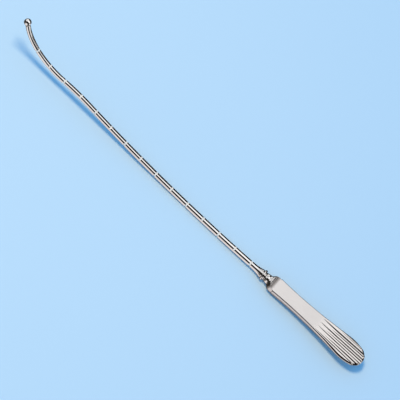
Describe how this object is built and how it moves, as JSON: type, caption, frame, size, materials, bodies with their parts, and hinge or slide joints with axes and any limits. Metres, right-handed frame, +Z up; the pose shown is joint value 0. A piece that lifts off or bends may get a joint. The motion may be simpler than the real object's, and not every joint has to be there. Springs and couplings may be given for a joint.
{
  "type": "uterine sound",
  "caption": "One-piece steel uterine sound: a slender graduated shaft with a curved ball tip, and a flat handle with a fluted end.",
  "frame": {"origin": "centre of the bottom of the part's box, as it lies on a flat surface with its tip up", "axes": "+X along the instrument from the handle to the tip, +Z up, towards the side that the tip bends to, +Y across the handle"},
  "size_m": [0.281, 0.015, 0.0338],
  "materials": {
    "steel": "polished shaft, satin handle"
  },
  "bodies": {
    "root": {"uterine_sound": "steel"}
  },
  "joints": []
}
